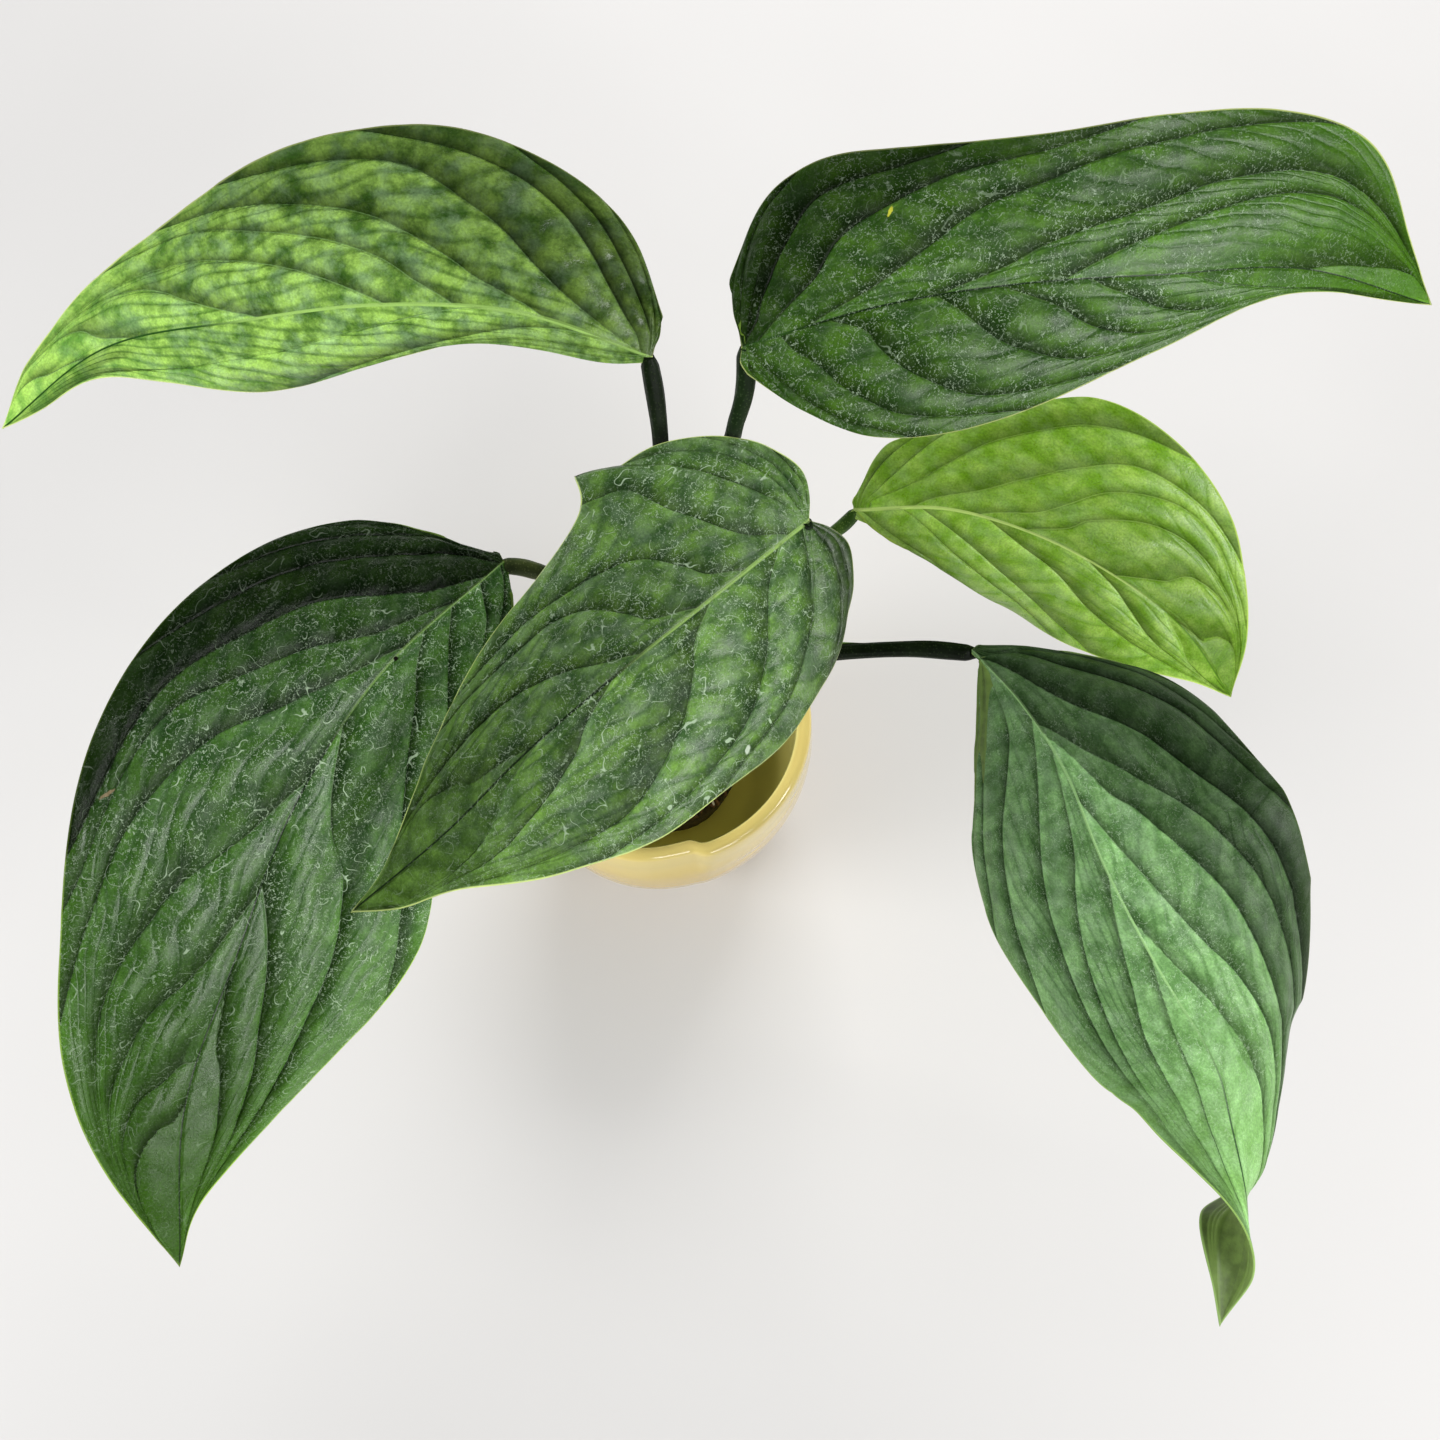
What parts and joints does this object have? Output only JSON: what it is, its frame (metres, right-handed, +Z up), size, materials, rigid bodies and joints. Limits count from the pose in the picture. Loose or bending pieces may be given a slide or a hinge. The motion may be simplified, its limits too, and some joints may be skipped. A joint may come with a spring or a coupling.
{
  "type": "potted monstera pinnatipartita",
  "caption": "Young climbing aroid with broad pointed leaves on arching petioles, in a rounded glazed pot with a soft notch in its rim.",
  "frame": {"origin": "centre of the pot's foot, on the surface that the pot stands on", "axes": "+Z up along the pot's axis, +X to the viewer's right, -Y towards a viewer in front of the plant"},
  "size_m": [0.5202, 0.3733, 0.3888],
  "materials": {
    "pot": "gloss",
    "mix": "matte",
    "stem": "satin",
    "petiole": "satin",
    "blade_dark": "satin",
    "blade_bright": "satin",
    "blade_young": "satin"
  },
  "bodies": {
    "root": {"pot": "pot", "potting_mix": "mix", "stem": "stem", "leaf_1_blade": "blade_dark", "leaf_1_petiole": "petiole", "leaf_2_blade": "blade_dark", "leaf_2_petiole": "petiole", "leaf_3_blade": "blade_bright", "leaf_3_petiole": "petiole", "leaf_4_blade": "blade_young", "leaf_4_petiole": "petiole", "leaf_5_blade": "blade_dark", "leaf_5_petiole": "petiole", "leaf_6_blade": "blade_dark", "leaf_6_petiole": "petiole"}
  },
  "joints": []
}
